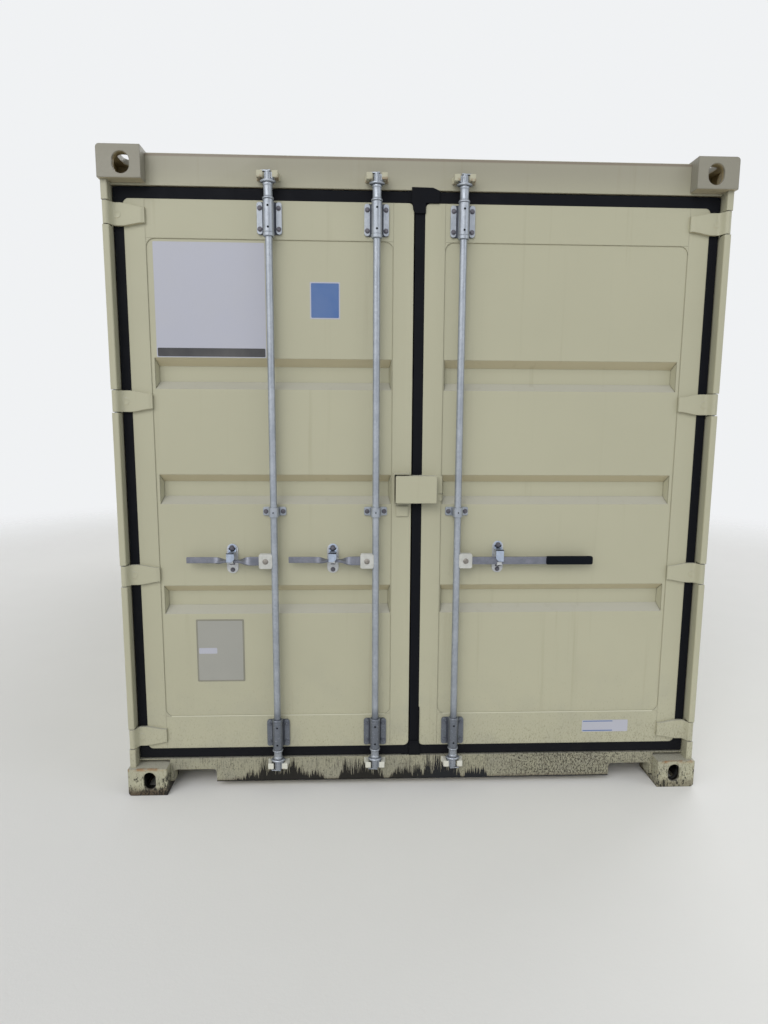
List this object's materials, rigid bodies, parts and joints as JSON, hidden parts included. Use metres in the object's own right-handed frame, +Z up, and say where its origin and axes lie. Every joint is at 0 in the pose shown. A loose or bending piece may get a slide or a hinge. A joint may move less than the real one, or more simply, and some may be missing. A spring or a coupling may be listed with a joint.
{
  "type": "shipping container",
  "caption": "Steel box for carrying and stacking goods, with corner castings, corrugated walls, and double end doors closed by turning lock rods.",
  "frame": {"origin": "middle of the footprint, at the underside of the bottom corner castings", "axes": "+Z up, +Y from the doors towards the closed end, +X to the right for someone facing the doors"},
  "size_m": [2.438, 6.058, 2.591],
  "materials": {
    "frame_paint": "satin paint, weathered",
    "wall_paint": "satin paint, weathered",
    "door_paint": "satin paint, weathered",
    "keeper_paint": "satin paint",
    "zinc": "dull galvanised",
    "seal_rubber": "matt",
    "grip_rubber": "matt, ribbed",
    "floor_wood": "worn plywood"
  },
  "bodies": {
    "container": {"top_castings": "frame_paint", "bottom_castings": "frame_paint", "rear_posts": "frame_paint", "front_posts": "frame_paint", "door_header": "frame_paint", "door_sill": "frame_paint", "front_header": "frame_paint", "front_sill": "frame_paint", "top_side_rails": "frame_paint", "bottom_side_rails": "frame_paint", "cross_members": "frame_paint", "forklift_pockets": "frame_paint", "floor_boards": "floor_wood", "side_walls": "wall_paint", "front_wall": "wall_paint", "roof_panel": "wall_paint", "roof_end_plates": "wall_paint", "side_vents": "wall_paint", "cam_keepers": "keeper_paint", "hinge_pins": "zinc"},
    "left_door": {"left_door_stiles": "door_paint", "left_door_rails": "door_paint", "left_door_panel": "door_paint", "left_door_gasket": "seal_rubber", "left_door_hinges": "door_paint", "left_rod_brackets": "zinc", "left_handle_retainers": "zinc", "lock_box_shroud": "wall_paint"},
    "right_door": {"right_door_stiles": "door_paint", "right_door_rails": "door_paint", "right_door_panel": "door_paint", "right_door_gasket": "seal_rubber", "right_door_hinges": "door_paint", "right_rod_brackets": "zinc", "right_handle_retainer": "zinc", "lock_box": "wall_paint"},
    "rod_1": {"lock_rod_1": "zinc", "cams_1": "zinc"},
    "rod_2": {"lock_rod_2": "zinc", "cams_2": "zinc"},
    "rod_3": {"lock_rod_3": "zinc", "cams_3": "zinc"},
    "handle_1": {"handle_1": "zinc"},
    "handle_2": {"handle_2": "zinc"},
    "handle_3": {"handle_3": "zinc", "handle_grip": "grip_rubber"},
    "catch_1": {"catch_1": "zinc"},
    "catch_2": {"catch_2": "zinc"},
    "catch_3": {"catch_3": "zinc"}
  },
  "joints": [
    {"name": "left_door_hinge", "type": "hinge", "parent": "container", "child": "left_door", "pos_m": [-1.201, -3.0015, 1.3], "axis": [0, 0, -1], "range_deg": [0, 260]},
    {"name": "right_door_hinge", "type": "hinge", "parent": "container", "child": "right_door", "pos_m": [1.201, -3.0015, 1.3], "axis": [0, 0, 1], "range_deg": [0, 260]},
    {"name": "rod_1_turn", "type": "hinge", "parent": "left_door", "child": "rod_1", "pos_m": [-0.59, -3.006, 1.3], "axis": [0, 0, -1], "range_deg": [-100, 0]},
    {"name": "handle_1_lift", "type": "hinge", "parent": "rod_1", "child": "handle_1", "pos_m": [-0.626, -3.006, 1.009], "axis": [0, -1, 0], "range_deg": [-8, 0]},
    {"name": "catch_1_swing", "type": "hinge", "parent": "left_door", "child": "catch_1", "pos_m": [-0.767, -2.989, 1.0595], "axis": [0, 1, 0], "range_deg": [-95, 0]},
    {"name": "rod_2_turn", "type": "hinge", "parent": "left_door", "child": "rod_2", "pos_m": [-0.176, -3.006, 1.3], "axis": [0, 0, -1], "range_deg": [-100, 0]},
    {"name": "handle_2_lift", "type": "hinge", "parent": "rod_2", "child": "handle_2", "pos_m": [-0.212, -3.006, 1.009], "axis": [0, -1, 0], "range_deg": [-8, 0]},
    {"name": "catch_2_swing", "type": "hinge", "parent": "left_door", "child": "catch_2", "pos_m": [-0.353, -2.989, 1.0595], "axis": [0, 1, 0], "range_deg": [-95, 0]},
    {"name": "rod_3_turn", "type": "hinge", "parent": "right_door", "child": "rod_3", "pos_m": [0.16, -3.006, 1.3], "axis": [0, 0, 1], "range_deg": [-100, 0]},
    {"name": "handle_3_lift", "type": "hinge", "parent": "rod_3", "child": "handle_3", "pos_m": [0.196, -3.006, 1.009], "axis": [0, 1, 0], "range_deg": [-8, 0]},
    {"name": "catch_3_swing", "type": "hinge", "parent": "right_door", "child": "catch_3", "pos_m": [0.337, -2.989, 1.07], "axis": [0, -1, 0], "range_deg": [-95, 0]}
  ]
}
